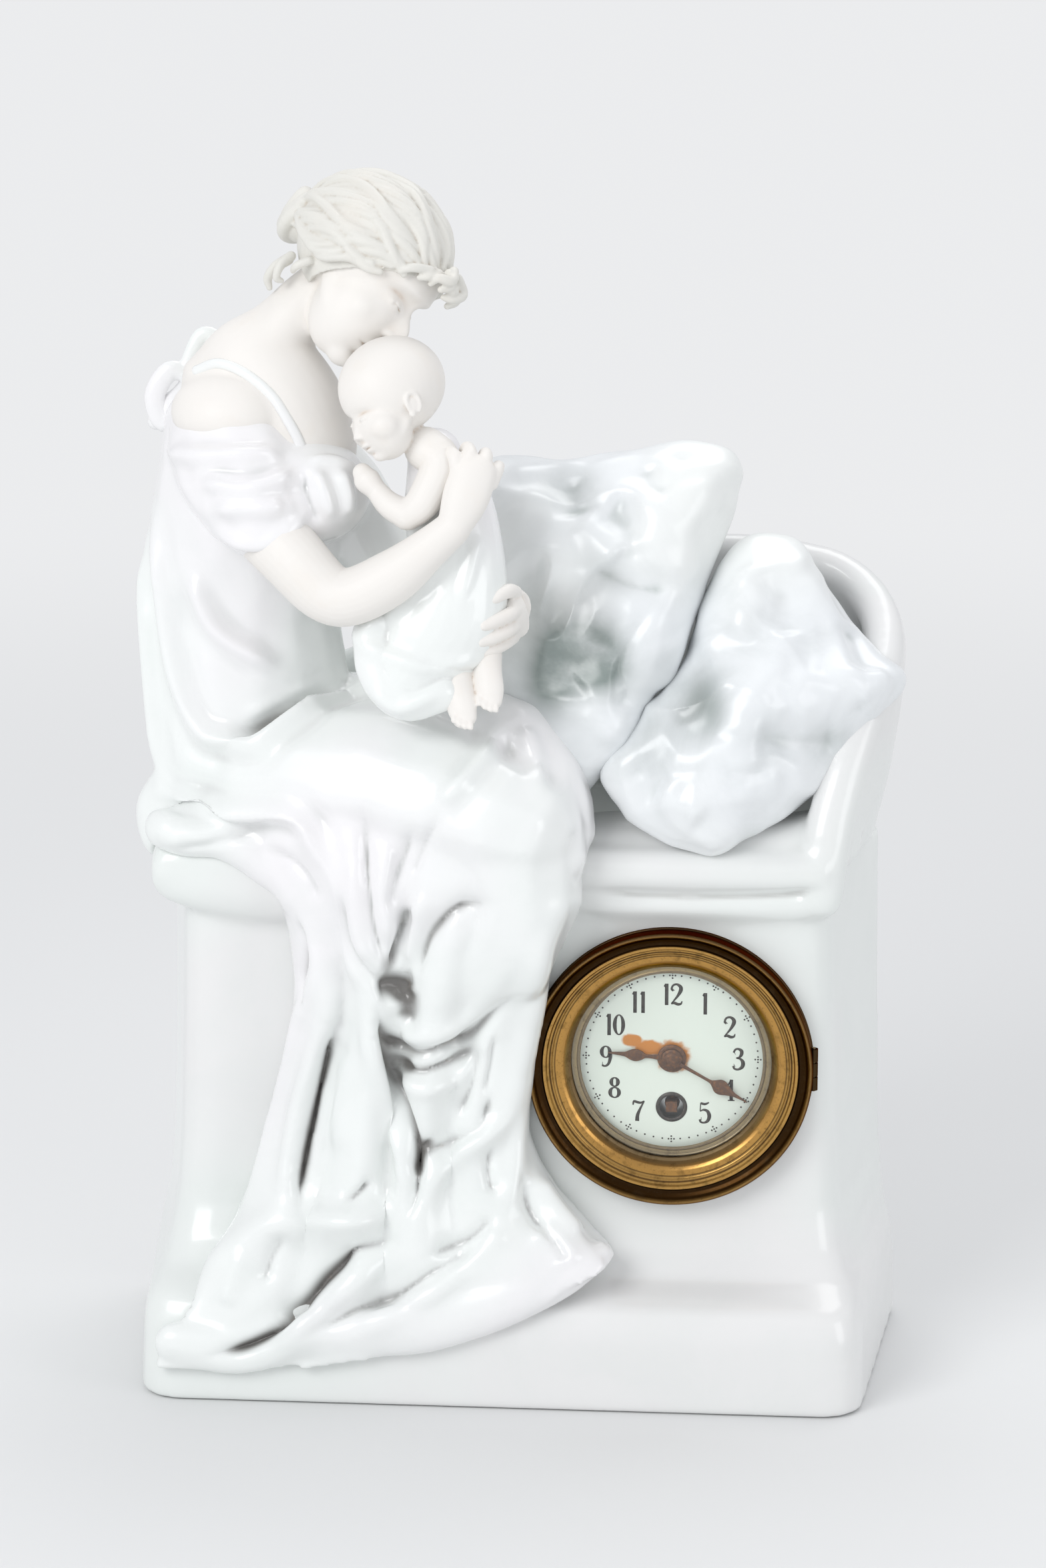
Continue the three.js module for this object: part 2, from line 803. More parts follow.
const settee = setteeForm(seam);
const gown = gownForm().add(gownBow());
const gownRoom = gownForm(seam).add(gownBow(seam));
const bezelRoom = rodAlongY(flangeRadius + gownClearance, -90, panelFace, 48).translate(clockX, 0, clockZ);
const infant = infantForm();
const infantRoom = infantForm(seam);

place(porcelain, "settee_body", setteeBody(), glaze);
place(porcelain, "figure_gown", mainBody(gown.subtract(settee).subtract(bezelRoom)), glaze);
const head = headForm().subtract(gownRoom);
place(porcelain, "figure_head", mainBody(head), bisque);
place(porcelain, "infant", mainBody(infant.subtract(gownRoom).subtract(headForm(seam))), bisque);
const rightArm = rightArmForm().subtract(gownRoom).subtract(infantRoom).subtract(headForm(seam));
place(porcelain, "figure_right_arm", mainBody(rightArm), bisque);
const leftHand = leftHandForm().subtract(gownRoom).subtract(infantRoom).subtract(rightArmForm(seam));
place(porcelain, "figure_left_hand", mainBody(leftHand), bisque);
const figures = joinAll([gownRoom, infantRoom, leftHandForm(seam), rightArmForm(seam)]);
const smallCushion = smallCushionForm().subtract(settee).subtract(figures);
place(porcelain, "small_cushion", mainBody(smallCushion), glaze);
const largeCushion = largeCushionForm().subtract(settee).subtract(figures).subtract(smallCushionForm(seam));
place(porcelain, "large_cushion", mainBody(largeCushion), glaze);

// A ring or disc turned about the clock's axis, from points [radius, y].
function turned(profile, segments = 36) {
  const points = profile.map(([r, y]) => new THREE.Vector2(r, y));
  const closed = profile[0][0] > 0 || profile[profile.length - 1][0] > 0;
  if (closed) points.push(points[0].clone());
  return solidOf(new THREE.LatheGeometry(points, segments));
}

const tube = (outer, inner, front, back, segments = 24) =>
  turned(
    [
      [inner, front],
      [outer, front],
      [outer, back],
      [inner, back],
    ],
    segments,
  );

// A flat piece cut to an outline [x, z], from y = front to y = back.
function flat(outline, front, back) {
  const shape = new THREE.Shape(outline.map(([x, z]) => new THREE.Vector2(x, z)));
  const depth = back - front;
  const geometry = new THREE.ExtrudeGeometry(shape, { depth, bevelEnabled: false, curveSegments: 6 });
  return solidOf(geometry.rotateX(Math.PI / 2).translate(0, back, 0));
}

const block = (x0, x1, y0, y1, z0, z1) =>
  solidOf(
    new THREE.BoxGeometry(x1 - x0, y1 - y0, z1 - z0).translate((x0 + x1) / 2, (y0 + y1) / 2, (z0 + z1) / 2),
  );

// Teeth with sloping flanks, thinner than their spaces so that meshed wheels run free.
// `phase` turns the wheel by a share of a tooth.
function toothed(teeth, pitchRadius, front, back, phase = 0) {
  const module = (2 * pitchRadius) / teeth;
  const outline = [];
  const angleOf = (share) => (2 * Math.PI * (share + phase)) / teeth;
  for (let i = 0; i < teeth; i++) {
    for (const [share, radius] of [
      [-0.05, pitchRadius + 0.75 * module],
      [0.05, pitchRadius + 0.75 * module],
      [0.5, pitchRadius - 1.25 * module],
    ]) {
      const angle = angleOf(i + share);
      outline.push([radius * Math.cos(angle), radius * Math.sin(angle)]);
    }
  }
  return flat(outline, front, back);
}

// Three openings between a wheel's arms.
function crossings(outer, inner, front, back) {
  const arms = 3;
  const arm = 0.34; // angle that an arm takes up, radians
  const windows = [];
  for (let q = 0; q < arms; q++) {
    const outline = [];
    const from = (q * 2 * Math.PI) / arms + arm / 2;
    const to = ((q + 1) * 2 * Math.PI) / arms - arm / 2;
    for (let k = 0; k <= 3; k++) {
      const a = from + ((to - from) * k) / 3;
      outline.push([outer * Math.cos(a), outer * Math.sin(a)]);
    }
    const middle = (from + to) / 2;
    outline.push([inner * Math.cos(to), inner * Math.sin(to)]);
    outline.push([inner * Math.cos(middle), inner * Math.sin(middle)]);
    outline.push([inner * Math.cos(from), inner * Math.sin(from)]);
    windows.push(flat(outline, front - 1, back + 1));
  }
  return windows.reduce((all, next) => all.add(next));
}

// Where each layer of the clock lies along Y, from the porcelain panel both ways.
const flangeBack = panelFace - seam;
const flangeFront = flangeBack - flangeThickness;
const bezelBack = flangeFront - seam;
const bezelFront = bezelBack - bezelDepth;
const lipBack = bezelFront + funnelDepth;
const glassFront = lipBack + seam;
const glassBack = glassFront + glassThickness;
const sightFront = glassBack + seam;
const sightBack = sightFront + 0.7;
const dialFront = glassBack + handRoom;
const dialBack = dialFront + dialThickness;
const plateFront = dialBack + dialToPlate; // front face of the movement's front plate
const frontPlateBack = plateFront + plateThickness;
const backPlateFront = frontPlateBack + plateGap;
const backPlateBack = backPlateFront + plateThickness;
const drumInner = drumRadius - drumWall;
const plateRadius = drumInner - seam;
const dialRadius = drumInner - 0.5;
const hourHandBack = dialFront - 0.8;
const minuteHandBack = hourHandBack - handThickness - handGap;
const minuteHandFront = minuteHandBack - handThickness;

const hingeX = bezelRadius + 0.1;
const hingeY = bezelBack - 0.4;
const alongZ = (radius, low, high, x, y, sides = 12) =>
  solidOf(
    new THREE.CylinderGeometry(radius, radius, high - low, sides)
      .rotateX(Math.PI / 2)
      .translate(x, y, (low + high) / 2),
  );

// The hinge is let into the rim: its knuckles lie in notches of flange and bezel.
const hingeEnd = hingeLength / 2;
const hingeRoom = (low, high) => alongZ(knuckleRadius + seam, low, high, hingeX, hingeY);
const pinHole = alongZ(pinRadius + runningGap, -hingeEnd - 0.5, hingeEnd + 0.5, hingeX, hingeY);

// Drum case: a tube let into the porcelain, with the flange that covers its edge and
// the hinge's outer knuckles.
function drumCase() {
  const shell = turned(
    [
      [drumInner, drumBack],
      [drumRadius, drumBack],
      [drumRadius, flangeBack],
      [flangeRadius, flangeBack],
      [flangeRadius, flangeFront + 0.3],
      [flangeRadius - 0.3, flangeFront],
      [drumInner, flangeFront],
    ],
    32,
  );
  const inner = hingeLength / 6 + seam;
  const knuckles = [
    [-hingeEnd, -inner],
    [inner, hingeEnd],
  ].map(([low, high]) => alongZ(knuckleRadius, low, high, hingeX, hingeY));
  return joinAll([shell.subtract(hingeRoom(-inner, inner)), ...knuckles]).subtract(pinHole);
}

// Bezel ring: the rim stands in front; a hollow moulding, a stepped band and a funnel
// lead back to the glass, and a collar enters the drum's mouth.
function bezelRing() {
  const r = bezelRadius;
  const band = bandRadius;
  const glassSeat = glassRadius + seam;
  const collarEnd = sightBack + 0.3;
  const level = (share) => bezelFront + bezelDepth * share; // from the rim back to the flange
  const ring = turned(
    [
      [r, bezelBack],
      [r, level(0.11)],
      [r - 0.4, level(0.01)],
      [r - 1, level(0.02)],
      [r - 2, level(0.27)],
      [r - 3.3, level(0.42)],
      [band + 0.2, level(0.45)],
      [band - 0.3, level(0.34)],
      [band - 1.2, level(0.355)],
      [band - 1.6, level(0.52)],
      [band - 3, level(0.565)],
      [band - 3.4, level(0.68)],
      [band - 4.2, level(0.73)],
      [spigotRadius + 0.5, level(0.79)],
      [spigotRadius - 0.5, level(0.9)],
      [glassSeat - 0.7, lipBack - 1.4],
      [glassSeat - 1.6, lipBack - 0.6],
      [glassSeat - 1.6, lipBack],
      [glassSeat, lipBack],
      [glassSeat, collarEnd],
      [spigotRadius, collarEnd],
      [spigotRadius, bezelBack],
      [band - 1.8, bezelBack],
      [band - 1.8, level(0.71)],
      [r - 1.4, level(0.645)],
      [r - 1.4, bezelBack],
    ],
    36,
  );
  const inner = hingeLength / 6;
  const near = inner + seam * 0.5;
  const far = hingeEnd + 0.8;
  const notched = ring.subtract(hingeRoom(-far, -near)).subtract(hingeRoom(near, far));
  const knuckle = alongZ(knuckleRadius, -inner + seam * 0.5, inner - seam * 0.5, hingeX, hingeY);
  return notched.add(knuckle).subtract(pinHole);
}

place(clock, "drum_case", drumCase(), agedBrass);
place(clock, "bezel_ring", bezelRing(), brass);
place(clock, "hinge_pin", alongZ(pinRadius, -hingeEnd - 0.4, hingeEnd + 0.4, hingeX, hingeY), brass);
const glassProfile = [
  [0, glassFront],
  [glassRadius - 1, glassFront],
  [glassRadius, glassFront + 0.5],
  [glassRadius, glassBack],
  [0, glassBack],
];
place(clock, "bezel_glass", turned(glassProfile, 28), clearGlass);
place(clock, "sight_ring", tube(glassRadius, sightRadius, sightFront, sightBack, 32), agedBrass);

const dialHole = rodAlongY(3, dialFront - 2, dialBack + 2, 10);
const windingHole = rodAlongY(windingHoleRadius, dialFront - 2, dialBack + 2, 14);
const dialDisc = rodAlongY(dialRadius, dialFront, dialBack, 32)
  .subtract(dialHole)
  .subtract(windingHole.translate(0, 0, -windingDrop));
place(clock, "dial_plate", dialDisc, enamel);
const grommetProfile = [
  [windingHoleRadius - 1, dialFront - 0.3],
  [windingHoleRadius - 0.3, dialFront - 0.3],
  [windingHoleRadius - 0.3, dialBack],
  [windingHoleRadius - 1, dialBack],
];
place(clock, "winding_grommet", turned(grommetProfile, 14), agedBrass, 0, -windingDrop);

// A hand lying along +Z: hub ring, slim shaft and a leaf-shaped blade, turned to the hour.
function hand(length, bore, leaf, front, angle) {
  const { hub, at: leafAt, half: leafHalf } = leaf;
  const shaft = 0.55;
  const leafLength = length * 0.26;
  const outline = [
    [-shaft * 1.3, 0],
    [shaft * 1.3, 0],
    [shaft, leafAt - leafLength / 2],
    [leafHalf, leafAt - leafLength * 0.1],
    [leafHalf * 0.55, leafAt + leafLength * 0.3],
    [shaft * 0.8, leafAt + leafLength / 2],
    [shaft * 0.5, length],
    [-shaft * 0.5, length],
    [-shaft * 0.8, leafAt + leafLength / 2],
    [-leafHalf * 0.55, leafAt + leafLength * 0.3],
    [-leafHalf, leafAt - leafLength * 0.1],
    [-shaft, leafAt - leafLength / 2],
  ];
  const back = front + handThickness;
  const blade = flat(outline, front, back);
  return blade
    .add(rodAlongY(hub, front, back, 16))
    .subtract(rodAlongY(bore, front - 1, back + 1, 16))
    .rotate([0, angle, 0]);
}

const cannonPipe = arborRadius + runningGap + 0.5;
const hourPipeInner = cannonPipe + runningGap;
const hourPipeOuter = hourPipeInner + 0.4;
const hourFront = hourHandBack - handThickness;
const hourLeaf = { hub: handHub, at: hourHandLength * 0.62, half: 2.2 };
const minuteLeaf = { hub: handHub - 1.3, at: minuteHandLength * 0.7, half: 2.6 };
const hourHand = hand(hourHandLength, hourPipeOuter + 0.05, hourLeaf, hourFront, hourHandAngle);
const minuteHand = hand(
  minuteHandLength,
  cannonPipe + 0.05,
  minuteLeaf,
  minuteHandFront,
  minuteHandAngle,
);
place(clock, "hour_hand", hourHand, handSteel);
place(clock, "minute_hand", minuteHand, handSteel);
const collet = turned([
  [0, minuteHandFront - 1],
  [1.6, minuteHandFront - 0.8],
  [2.4, minuteHandFront - seam],
  [0, minuteHandFront - seam],
], 16);
place(clock, "hand_collet", collet, brass);

// Train wheel centres, as [x, z] from the clock's axis.
const along = (from, distance, degrees) => {
  const angle = THREE.MathUtils.degToRad(degrees);
  return [from[0] + distance * Math.cos(angle), from[1] + distance * Math.sin(angle)];
};
const pinionRadius = (wheelRadius, teeth, leaves) => (wheelRadius * leaves) / teeth;
const barrelPitch = (windingDrop * barrelTeeth) / (barrelTeeth + centrePinionLeaves);
const centrePinionPitch = windingDrop - barrelPitch;
const thirdPinionPitch = pinionRadius(centreWheelRadius, centreTeeth, thirdPinionLeaves);
const fourthPinionPitch = pinionRadius(thirdWheelRadius, thirdTeeth, fourthPinionLeaves);
const escapePinionPitch = pinionRadius(fourthWheelRadius, fourthTeeth, escapePinionLeaves);
const centreAt = [0, 0];
const barrelAt = [0, -windingDrop];
const thirdDirection = 135;
const fourthDirection = 20;
const escapeDirection = -25;
const thirdAt = along(centreAt, centreWheelRadius + thirdPinionPitch, thirdDirection);
const fourthAt = along(thirdAt, thirdWheelRadius + fourthPinionPitch, fourthDirection);
const escapeAt = along(fourthAt, fourthWheelRadius + escapePinionPitch, escapeDirection);
const palletDirection = -20;
const palletAt = along(escapeAt, escapeWheelRadius + 2.4, palletDirection);
const balanceDirection = -72;
const balanceAt = along(palletAt, 10.4, balanceDirection);
const minuteDirection = 60;
const minuteAt = along(centreAt, motionDistance, minuteDirection);

// Layers of the going train between the plates.
const centreLayer = frontPlateBack + 0.5;
const barrelFront = centreLayer + wheelThickness + 0.5;
const barrelBack = barrelFront + barrelHeight;
const thirdLayer = frontPlateBack + 4;
const fourthLayer = frontPlateBack + 7;
const escapeLayer = frontPlateBack + 10.5;

// Phase that puts a pinion's space opposite a wheel's tooth on the line between them.
// `toothShare` is where the wheel's nearest tooth lies, in teeth from its zero.
function meshPhase(direction, wheelTeeth, wheelPhase, leaves) {
  const turn = direction / 360;
  const wheelShare = turn * wheelTeeth - wheelPhase;
  const fromTooth = wheelShare - Math.round(wheelShare);
  const back = (turn + 0.5) * leaves;
  return back + 0.5 + fromTooth;
}

const centrePhase = 0;
const thirdPinionPhase = meshPhase(thirdDirection, centreTeeth, centrePhase, thirdPinionLeaves);
const fourthPinionPhase = meshPhase(fourthDirection, thirdTeeth, 0, fourthPinionLeaves);
const escapePinionPhase = meshPhase(escapeDirection, fourthTeeth, 0, escapePinionLeaves);
const centrePinionPhase = meshPhase(90, barrelTeeth, 0, centrePinionLeaves);
const minuteWheelPhase = meshPhase(minuteDirection, cannonLeaves, 0, minuteWheelTeeth);
const minutePinionPhase = meshPhase(minuteDirection, hourTeeth, 0, minutePinionLeaves);

// Plates, pivoted for every arbor, held apart by four pillars.
const pillarAngles = [45, 135, 215, 325];
const arborHoles = [
  [centreAt, centrePipeRadius],
  [barrelAt, windingArborRadius],
  [thirdAt, arborRadius],
  [fourthAt, arborRadius],
  [escapeAt, arborRadius],
  [palletAt, arborRadius],
  [balanceAt, arborRadius],
];
function plate(front, back) {
  let disc = rodAlongY(plateRadius, front, back, 28);
  for (const [[x, z], radius] of arborHoles)
    disc = disc.subtract(rodAlongY(radius + runningGap, front - 1, back + 1, 8).translate(x, 0, z));
  return disc;
}
const minutePost = rodAlongY(arborRadius - 0.2, dialBack + 0.8, plateFront, 10)
  .translate(minuteAt[0], 0, minuteAt[1]);
const frontPlate = plate(plateFront, frontPlateBack).add(minutePost);
place(clock, "front_plate", frontPlate, brass);
place(clock, "back_plate", plate(backPlateFront, backPlateBack), brass);
pillarAngles.forEach((degrees, i) => {
  const [x, z] = along(centreAt, pillarCircle, degrees);
  const waist = pillarRadius * 0.7;
  const profile = [
    [0, frontPlateBack],
    [pillarRadius, frontPlateBack],
    [pillarRadius, frontPlateBack + 2],
    [waist, frontPlateBack + 4],
    [waist, backPlateFront - 4],
    [pillarRadius, backPlateFront - 2],
    [pillarRadius, backPlateFront],
    [0, backPlateFront],
  ];
  place(clock, "pillar_" + (i + 1), turned(profile, 10), brass, x, z);
});

// Mainspring barrel with its toothed rim, cover and arbor.
const toothRim = 1.6;
const barrelShell = turned(
  [
    [windingArborRadius + runningGap, barrelBack],
    [windingArborRadius + runningGap, barrelBack - barrelWall],
    [barrelRadius - barrelWall, barrelBack - barrelWall],
    [barrelRadius - barrelWall, barrelFront],
    [barrelRadius, barrelFront],
    [barrelRadius, barrelBack],
  ],
  20,
);
const barrelRim = toothed(barrelTeeth, barrelPitch, barrelBack - toothRim, barrelBack).subtract(
  rodAlongY(barrelRadius - 0.5, barrelBack - 3, barrelBack + 1, 20),
);
place(clock, "barrel", barrelShell.add(barrelRim), brass, ...barrelAt);
const coverRadius = barrelRadius - barrelWall - seam;
place(
  clock,
  "barrel_cover",
  tube(coverRadius, windingArborRadius + runningGap, barrelFront, barrelFront + 0.8, 20),
  brass,
  ...barrelAt,
);

// Barrel arbor: pivots in both plates, ends in the winding square behind the dial's hole.
const halfSquare = windingSquare / 2;
const barrelArbor = rodAlongY(windingArborRadius, plateFront - 3.2, backPlateBack, 16).add(
  block(-halfSquare, halfSquare, dialFront - 0.2, plateFront - 3, -halfSquare, halfSquare),
);
place(clock, "barrel_arbor", barrelArbor, steel, ...barrelAt);

// A flat spiral of constant pitch between two radii.
function spiral(inner, outer, turns, thickness, front, back, steps = 12) {
  const count = Math.round(turns * steps);
  const inside = [];
  const outside = [];
  for (let k = 0; k <= count; k++) {
    const angle = (2 * Math.PI * k) / steps;
    const radius = inner + ((outer - inner) * k) / count;
    outside.push([(radius + thickness / 2) * Math.cos(angle), (radius + thickness / 2) * Math.sin(angle)]);
    inside.unshift([(radius - thickness / 2) * Math.cos(angle), (radius - thickness / 2) * Math.sin(angle)]);
  }
  return flat([...outside, ...inside], front, back);
}
const springOuter = barrelRadius - barrelWall - springThickness / 2 - seam;
const springInner = windingArborRadius + 1.2;
const springFront = barrelFront + 1.4;
const springBack = barrelBack - barrelWall - 0.5;
place(
  clock,
  "mainspring",
  spiral(springInner, springOuter, springTurns, springThickness, springFront, springBack),
  steel,
  ...barrelAt,
);

// Ratchet and click hold the winding, in front of the front plate.
const ratchetBack = plateFront - 0.8;
const ratchetFront = ratchetBack - 1.2;
function ratchetWheel() {
  const outline = [];
  for (let i = 0; i < ratchetTeeth; i++) {
    const a = (2 * Math.PI * i) / ratchetTeeth;
    const b = (2 * Math.PI * (i + 0.85)) / ratchetTeeth;
    outline.push([ratchetRadius * Math.cos(a), ratchetRadius * Math.sin(a)]);
    outline.push([(ratchetRadius - 0.9) * Math.cos(b), (ratchetRadius - 0.9) * Math.sin(b)]);
  }
  return flat(outline, ratchetFront, ratchetBack).subtract(
    rodAlongY(windingArborRadius + 0.05, ratchetFront - 1, ratchetBack + 1, 16),
  );
}
place(clock, "ratchet_wheel", ratchetWheel(), steel, ...barrelAt);
const clickPivot = along(barrelAt, ratchetRadius + 5, 0);
const clickReach = 4.2;
const clickBody = flat(
  [
    [-1.4, 1.2],
    [-1.2, -1.4],
    [1.4, -1.4],
    [1.5, 1.2],
    [-1.2, clickReach],
    [-3.1, clickReach + 0.2],
    [-3.3, clickReach - 0.8],
  ],
  ratchetFront,
  ratchetBack,
).subtract(rodAlongY(0.9, ratchetFront - 1, ratchetBack + 1, 10));
place(clock, "click", clickBody, steel, ...clickPivot);
const clickScrew = turned(
  [
    [0, ratchetFront - 1],
    [1.5, ratchetFront - 1],
    [1.5, ratchetFront - 0.2],
    [0.6, ratchetFront - 0.2],
    [0.6, plateFront],
    [0, plateFront],
  ],
  10,
);
place(clock, "click_screw", clickScrew, steel, ...clickPivot);
const clickSpring = flat(
  [
    [3, -6],
    [6, -6],
    [6, -4],
    [4.2, -3],
    [2.6, 3.4],
    [2.2, 3.2],
    [3.4, -3],
    [3, -4],
  ],
  ratchetFront,
  plateFront,
);
place(clock, "click_spring", clickSpring, steel, ...clickPivot);

// A train wheel with its pinion and arbor in one piece, as it is staked together.
function trainWheel(teeth, pitch, layer, leaves, pinionPitch, pinionLayer, phase, pinionPhase) {
  const module = (2 * pitch) / teeth;
  const rim = pitch - 1 * module - 1;
  const wheel = toothed(teeth, pitch, layer, layer + wheelThickness, phase).subtract(
    crossings(rim, 2.6, layer, layer + wheelThickness),
  );
  const arbor = rodAlongY(arborRadius, plateFront + 0.3, backPlateBack - 0.3, 8);
  const pinion = toothed(leaves, pinionPitch, pinionLayer[0], pinionLayer[1], pinionPhase);
  return joinAll([wheel, arbor, pinion]);
}

// Centre wheel and pinion on a pipe. The minute arbor turns inside it with the cannon
// pinion, the minute hand and the setting knob, gripped by a friction spring.
const centrePinion = toothed(
  centrePinionLeaves,
  centrePinionPitch,
  barrelBack - toothRim - 0.6,
  backPlateFront - 0.5,
  centrePinionPhase,
);
const centreBack = centreLayer + wheelThickness;
const centreDisc = toothed(centreTeeth, centreWheelRadius, centreLayer, centreBack, centrePhase)
  .subtract(crossings(centreWheelRadius - 1.6, 2.8, centreLayer, centreBack));
const centreWheel = joinAll([centreDisc, centrePinion])
  .add(rodAlongY(centrePipeRadius, plateFront + 0.2, backPlateBack - 0.2, 12))
  .subtract(rodAlongY(minuteArborRadius + 0.2, plateFront - 1, backPlateBack + 1, 8));
place(clock, "centre_wheel", centreWheel, brass);
const knobFront = drumBack + 2.5;
const minuteArbor = rodAlongY(minuteArborRadius, minuteHandFront - seam, knobFront + knobLength - 1, 8);
place(clock, "minute_arbor", minuteArbor, steel);
const cannonBack = plateFront - 0.6;
const cannonTeethFront = cannonBack - 1.6;
const cannonPitch = (motionDistance * cannonLeaves) / (cannonLeaves + minuteWheelTeeth);
const cannonPinion = toothed(cannonLeaves, cannonPitch, cannonTeethFront, cannonBack)
  .add(rodAlongY(cannonPipe, minuteHandFront, cannonBack, 16))
  .subtract(rodAlongY(minuteArborRadius + 0.05, minuteHandFront - 1, cannonBack + 1, 8));
place(clock, "cannon_pinion", cannonPinion, steel);

const hourPitch = (motionDistance * hourTeeth) / (hourTeeth + minutePinionLeaves);
const minuteWheelPitch = (motionDistance * minuteWheelTeeth) / (cannonLeaves + minuteWheelTeeth);
const hourWheelFront = dialBack + 1;
const hourWheelBack = hourWheelFront + 1;
const hourWheel = toothed(hourTeeth, hourPitch, hourWheelFront, hourWheelBack)
  .add(rodAlongY(hourPipeOuter, hourFront, hourWheelBack, 16))
  .subtract(rodAlongY(hourPipeInner, hourFront - 1, hourWheelBack + 1, 16));
place(clock, "hour_wheel", hourWheel, brass);
const minuteWheelFront = cannonTeethFront + 0.3;
const minutePinion = toothed(
  minutePinionLeaves,
  motionDistance - hourPitch,
  hourWheelFront - 0.2,
  minuteWheelFront + 0.1,
  minutePinionPhase,
);
const minuteWheel = toothed(
  minuteWheelTeeth,
  minuteWheelPitch,
  minuteWheelFront,
  cannonBack - 0.3,
  minuteWheelPhase,
)
  .add(minutePinion)
  .subtract(rodAlongY(arborRadius - 0.2 + runningGap, hourWheelFront - 2, cannonBack + 2, 10));
place(clock, "minute_wheel", minuteWheel, brass, ...minuteAt);

place(
  clock,
  "third_wheel",
  trainWheel(thirdTeeth, thirdWheelRadius, thirdLayer, thirdPinionLeaves, thirdPinionPitch,
    [centreLayer - 0.2, thirdLayer + 0.2], 0, thirdPinionPhase),
  brass,
  ...thirdAt,
);
place(
  clock,
  "fourth_wheel",
  trainWheel(fourthTeeth, fourthWheelRadius, fourthLayer, fourthPinionLeaves, fourthPinionPitch,
    [thirdLayer - 0.3, fourthLayer + 0.2], 0, fourthPinionPhase),
  brass,
  ...fourthAt,
);

// Escape wheel with pointed teeth, its pinion driven by the fourth wheel.
function escapeWheel() {
  const outline = [];
  for (let i = 0; i < escapeTeeth; i++) {
    const tip = (2 * Math.PI * i) / escapeTeeth;
    const heel = (2 * Math.PI * (i + 0.35)) / escapeTeeth;
    const root = (2 * Math.PI * (i + 0.75)) / escapeTeeth;
    outline.push([escapeWheelRadius * Math.cos(tip), escapeWheelRadius * Math.sin(tip)]);
    outline.push([(escapeWheelRadius - 1.6) * Math.cos(heel), (escapeWheelRadius - 1.6) * Math.sin(heel)]);
    outline.push([(escapeWheelRadius - 1.5) * Math.cos(root), (escapeWheelRadius - 1.5) * Math.sin(root)]);
  }
  const arbor = rodAlongY(arborRadius - 0.2, plateFront + 0.3, backPlateBack - 0.3, 8);
  const pinion = toothed(
    escapePinionLeaves,
    escapePinionPitch,
    fourthLayer - 0.3,
    escapeLayer + 0.2,
    escapePinionPhase,
  );
  return joinAll([flat(outline, escapeLayer, escapeLayer + 0.8), arbor, pinion]);
}
place(clock, "escape_wheel", escapeWheel(), brass, ...escapeAt);

// Pallet lever: two arms that reach round the escape wheel and a fork towards the balance.
function palletLever() {
  const parts = [rodAlongY(1.3, escapeLayer, escapeLayer + 0.8, 10)];
  const toEscape = [escapeAt[0] - palletAt[0], escapeAt[1] - palletAt[1]];
  const centreAngle = (Math.atan2(-toEscape[1], -toEscape[0]) * 180) / Math.PI;
  const bar = (from, to, half) => {
    const dx = to[0] - from[0];
    const dz = to[1] - from[1];
    const size = Math.hypot(dx, dz);
    const nx = (-dz / size) * half;
    const nz = (dx / size) * half;
    return flat(
      [
        [from[0] + nx, from[1] + nz],
        [from[0] - nx, from[1] - nz],
        [to[0] - nx, to[1] - nz],
        [to[0] + nx, to[1] + nz],
      ],
      escapeLayer,
      escapeLayer + 0.8,
    );
  };
  for (const side of [-1, 1]) {
    const elbow = along(toEscape, escapeWheelRadius + 2.1, centreAngle + side * 34);
    const stone = along(toEscape, escapeWheelRadius + 1.5, centreAngle + side * 62);
    parts.push(bar([0, 0], elbow, 0.55), bar(elbow, stone, 0.55));
  }
  const fork = along([0, 0], 7.4, balanceDirection);
  parts.push(bar([0, 0], fork, 0.5));
  parts.push(rodAlongY(arborRadius - 0.3, plateFront + 0.3, backPlateBack - 0.3, 8));
  return joinAll(parts);
}
place(clock, "pallet_lever", palletLever(), steel, ...palletAt);

// Balance: a rim with two arms on a staff, behind the back plate under its cock.
const balanceFront = backPlateBack + 1.6;
const balanceBack = balanceFront + 1.2;
const springLayer = balanceBack + 0.9;
const cockFront = springLayer + 1.4;
const cockBack = cockFront + 1.4;
const balance = joinAll([
  tube(balanceRadius, balanceRadius - 1.2, balanceFront, balanceBack, 20),
  block(-balanceRadius + 0.6, balanceRadius - 0.6, balanceFront + 0.2, balanceBack - 0.2, -0.6, 0.6),
  rodAlongY(1.6, balanceFront - 0.2, balanceBack, 10),
  rodAlongY(arborRadius - 0.3, plateFront + 0.3, cockFront - 0.2, 8),
  rodAlongY(1.5, escapeLayer - 0.2, escapeLayer + 1, 12),
]);
place(clock, "balance_wheel", balance, brass, ...balanceAt);
place(
  clock,
  "hairspring",
  spiral(1.4, 5.2, hairspringTurns, 0.25, springLayer, springLayer + 0.5, 10),
  steel,
  ...balanceAt,
);

// Balance cock: a bridge from a foot on the back plate over the balance.
const cockDirection = -60;
const footReach = balanceRadius + 4;
const cockFoot = along([0, 0], footReach, cockDirection);
const cockTurn = THREE.MathUtils.degToRad(cockDirection);
const cockAcross = [-Math.sin(cockTurn) * 2.4, Math.cos(cockTurn) * 2.4];
const cockBridge = flat(
  [
    [cockAcross[0], cockAcross[1]],
    [-cockAcross[0], -cockAcross[1]],
    [cockFoot[0] - cockAcross[0], cockFoot[1] - cockAcross[1]],
    [cockFoot[0] + cockAcross[0], cockFoot[1] + cockAcross[1]],
  ],
  cockFront,
  cockBack,
);
const cock = joinAll([
  cockBridge,
  rodAlongY(3, cockFront, cockBack, 16),
  rodAlongY(2.6, backPlateBack, cockBack, 16).translate(cockFoot[0], 0, cockFoot[1]),
]);
place(clock, "balance_cock", cock, brass, ...balanceAt);
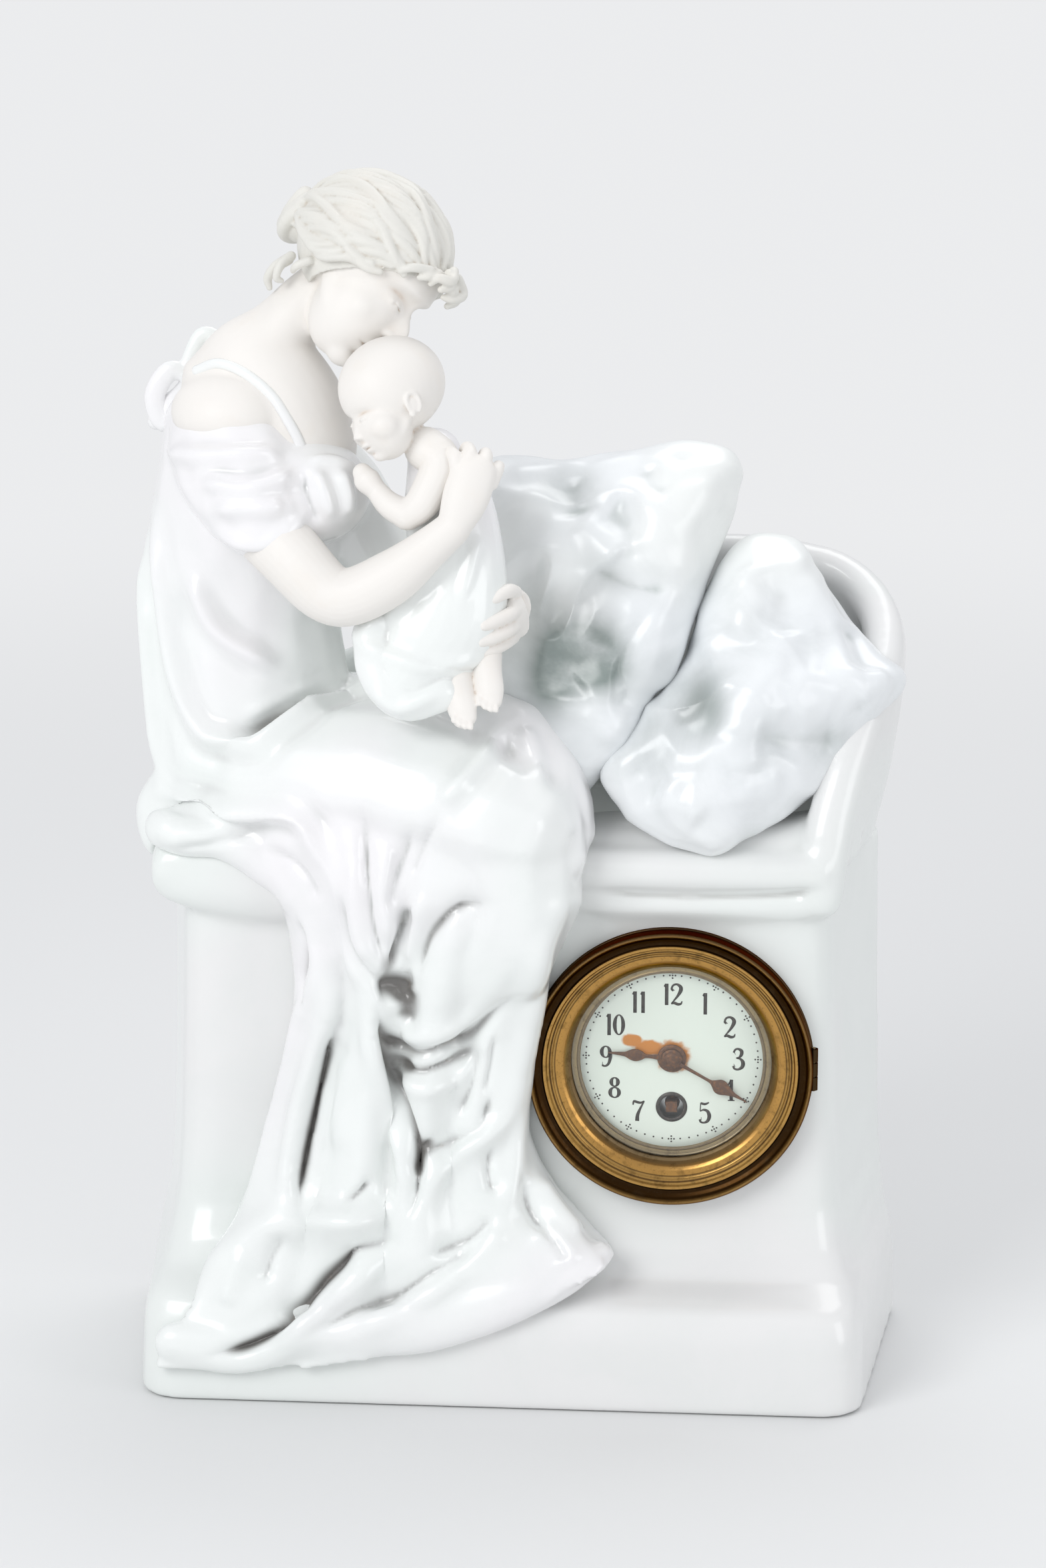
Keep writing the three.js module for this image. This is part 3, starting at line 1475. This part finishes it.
const indexLever = joinAll([
  rodAlongY(2.2, cockBack + 0.3, cockBack + 1, 16),
  flat(
    [
      [-0.6, 0],
      [0.6, 0],
      [0.4, 8.5],
      [-0.4, 8.5],
    ],
    cockBack + 0.3,
    cockBack + 1,
  ),
]);
const indexDirection = 120;
place(clock, "regulator_index", indexLever.rotate([0, 90 - indexDirection, 0]), steel, ...balanceAt);

// Back cover: a shallow cap over the drum's end, pierced for the setting arbor.
const coverFaceFront = drumBack + 0.3;
const backCover = turned(
  [
    [arborRadius + 1.2, coverFaceFront],
    [drumRadius + seam, coverFaceFront],
    [drumRadius + seam, drumBack - 5],
    [drumRadius + seam + 0.7, drumBack - 5],
    [drumRadius + seam + 0.7, coverFaceFront + 0.7],
    [arborRadius + 1.2, coverFaceFront + 0.7],
  ],
  28,
);
place(clock, "back_cover", backCover, agedBrass);
function settingKnob() {
  const outline = [];
  const ribs = 12;
  for (let i = 0; i < 2 * ribs; i++) {
    const angle = (Math.PI * i) / ribs;
    const radius = i % 2 ? knobRadius : knobRadius - 0.5;
    outline.push([radius * Math.cos(angle), radius * Math.sin(angle)]);
  }
  return flat(outline, knobFront, knobFront + knobLength).subtract(
    rodAlongY(minuteArborRadius + 0.05, knobFront - 1, knobFront + knobLength - 0.8, 8),
  );
}
place(clock, "setting_knob", settingKnob(), brass);

// Clamp ring: slides over the drum from behind, bears on the porcelain and is held by
// two radial screws.
const clampFront = panelFace + porcelainWall + seam;
const clampBack = clampFront + 5;
const clampRadius = drumRadius + apertureGap + 3.5;
const clampScrewRadius = 1.2;
const clampMiddle = (clampFront + clampBack) / 2;
const clampReach = clampRadius + 5;
const clampHole = alongZ(clampScrewRadius + 0.2, -clampReach, clampReach, 0, clampMiddle, 10);
place(
  clock,
  "clamp_ring",
  tube(clampRadius, drumRadius + seam, clampFront, clampBack, 28).subtract(clampHole),
  brass,
);
for (const [name, side] of [
  ["clamp_screw_top", 1],
  ["clamp_screw_bottom", -1],
]) {
  const inner = drumRadius + seam;
  const shankEnd = clampRadius + 0.4;
  const headEnd = shankEnd + 2;
  const range = (a, b) => [Math.min(side * a, side * b), Math.max(side * a, side * b)];
  const y = clampMiddle;
  const screw = alongZ(clampScrewRadius, ...range(inner, headEnd), 0, y, 10).add(
    alongZ(2.4, ...range(shankEnd, headEnd), 0, y, 12),
  );
  place(clock, name, screw, steel);
}

export default clockCase;
